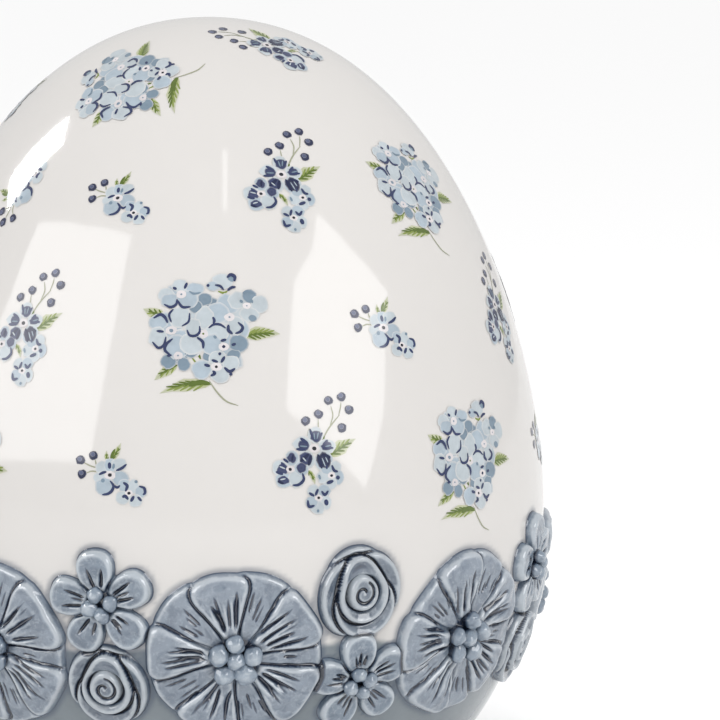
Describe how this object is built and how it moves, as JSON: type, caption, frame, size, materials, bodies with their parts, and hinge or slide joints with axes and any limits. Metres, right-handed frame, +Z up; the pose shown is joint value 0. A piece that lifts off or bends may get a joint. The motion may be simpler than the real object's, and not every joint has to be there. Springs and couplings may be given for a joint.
{
  "type": "decorative ceramic egg",
  "caption": "Hollow glazed earthenware egg on a flat foot, with a relief garland of blossoms, small flowers and roses round its lower third.",
  "frame": {"origin": "middle of the flat foot", "axes": "+Z up along the egg's axis, -Y towards the front"},
  "size_m": [0.1475, 0.1474, 0.166],
  "materials": {
    "shell_glaze": "glossy white glaze with printed blue flower sprigs above the garland, glossy pale blue-grey glaze below it",
    "blossom_glaze": "glossy blue-grey glaze, pale on raised edges and pooled dark in the grooves",
    "flower_glaze": "glossy blue-grey glaze, pale on raised edges and pooled dark in the grooves",
    "rose_glaze": "glossy blue-grey glaze, pale on raised edges and pooled dark between the petals",
    "bead_glaze": "glossy blue-grey glaze, thinner and paler than on the petals"
  },
  "bodies": {
    "root": {"egg_shell": "shell_glaze", "blossom_1": "blossom_glaze", "blossom_beads_1": "bead_glaze", "small_flower_1": "flower_glaze", "small_flower_beads_1": "bead_glaze", "rose_1": "rose_glaze", "rose_bud_1": "rose_glaze", "blossom_2": "blossom_glaze", "blossom_beads_2": "bead_glaze", "small_flower_2": "flower_glaze", "small_flower_beads_2": "bead_glaze", "rose_2": "rose_glaze", "rose_bud_2": "rose_glaze", "blossom_3": "blossom_glaze", "blossom_beads_3": "bead_glaze", "small_flower_3": "flower_glaze", "small_flower_beads_3": "bead_glaze", "rose_3": "rose_glaze", "rose_bud_3": "rose_glaze", "blossom_4": "blossom_glaze", "blossom_beads_4": "bead_glaze", "small_flower_4": "flower_glaze", "small_flower_beads_4": "bead_glaze", "rose_4": "rose_glaze", "rose_bud_4": "rose_glaze", "blossom_5": "blossom_glaze", "blossom_beads_5": "bead_glaze", "small_flower_5": "flower_glaze", "small_flower_beads_5": "bead_glaze", "rose_5": "rose_glaze", "rose_bud_5": "rose_glaze", "blossom_6": "blossom_glaze", "blossom_beads_6": "bead_glaze", "small_flower_6": "flower_glaze", "small_flower_beads_6": "bead_glaze", "rose_6": "rose_glaze", "rose_bud_6": "rose_glaze", "blossom_7": "blossom_glaze", "blossom_beads_7": "bead_glaze", "small_flower_7": "flower_glaze", "small_flower_beads_7": "bead_glaze", "rose_7": "rose_glaze", "rose_bud_7": "rose_glaze", "blossom_8": "blossom_glaze", "blossom_beads_8": "bead_glaze", "small_flower_8": "flower_glaze", "small_flower_beads_8": "bead_glaze", "rose_8": "rose_glaze", "rose_bud_8": "rose_glaze"}
  },
  "joints": []
}
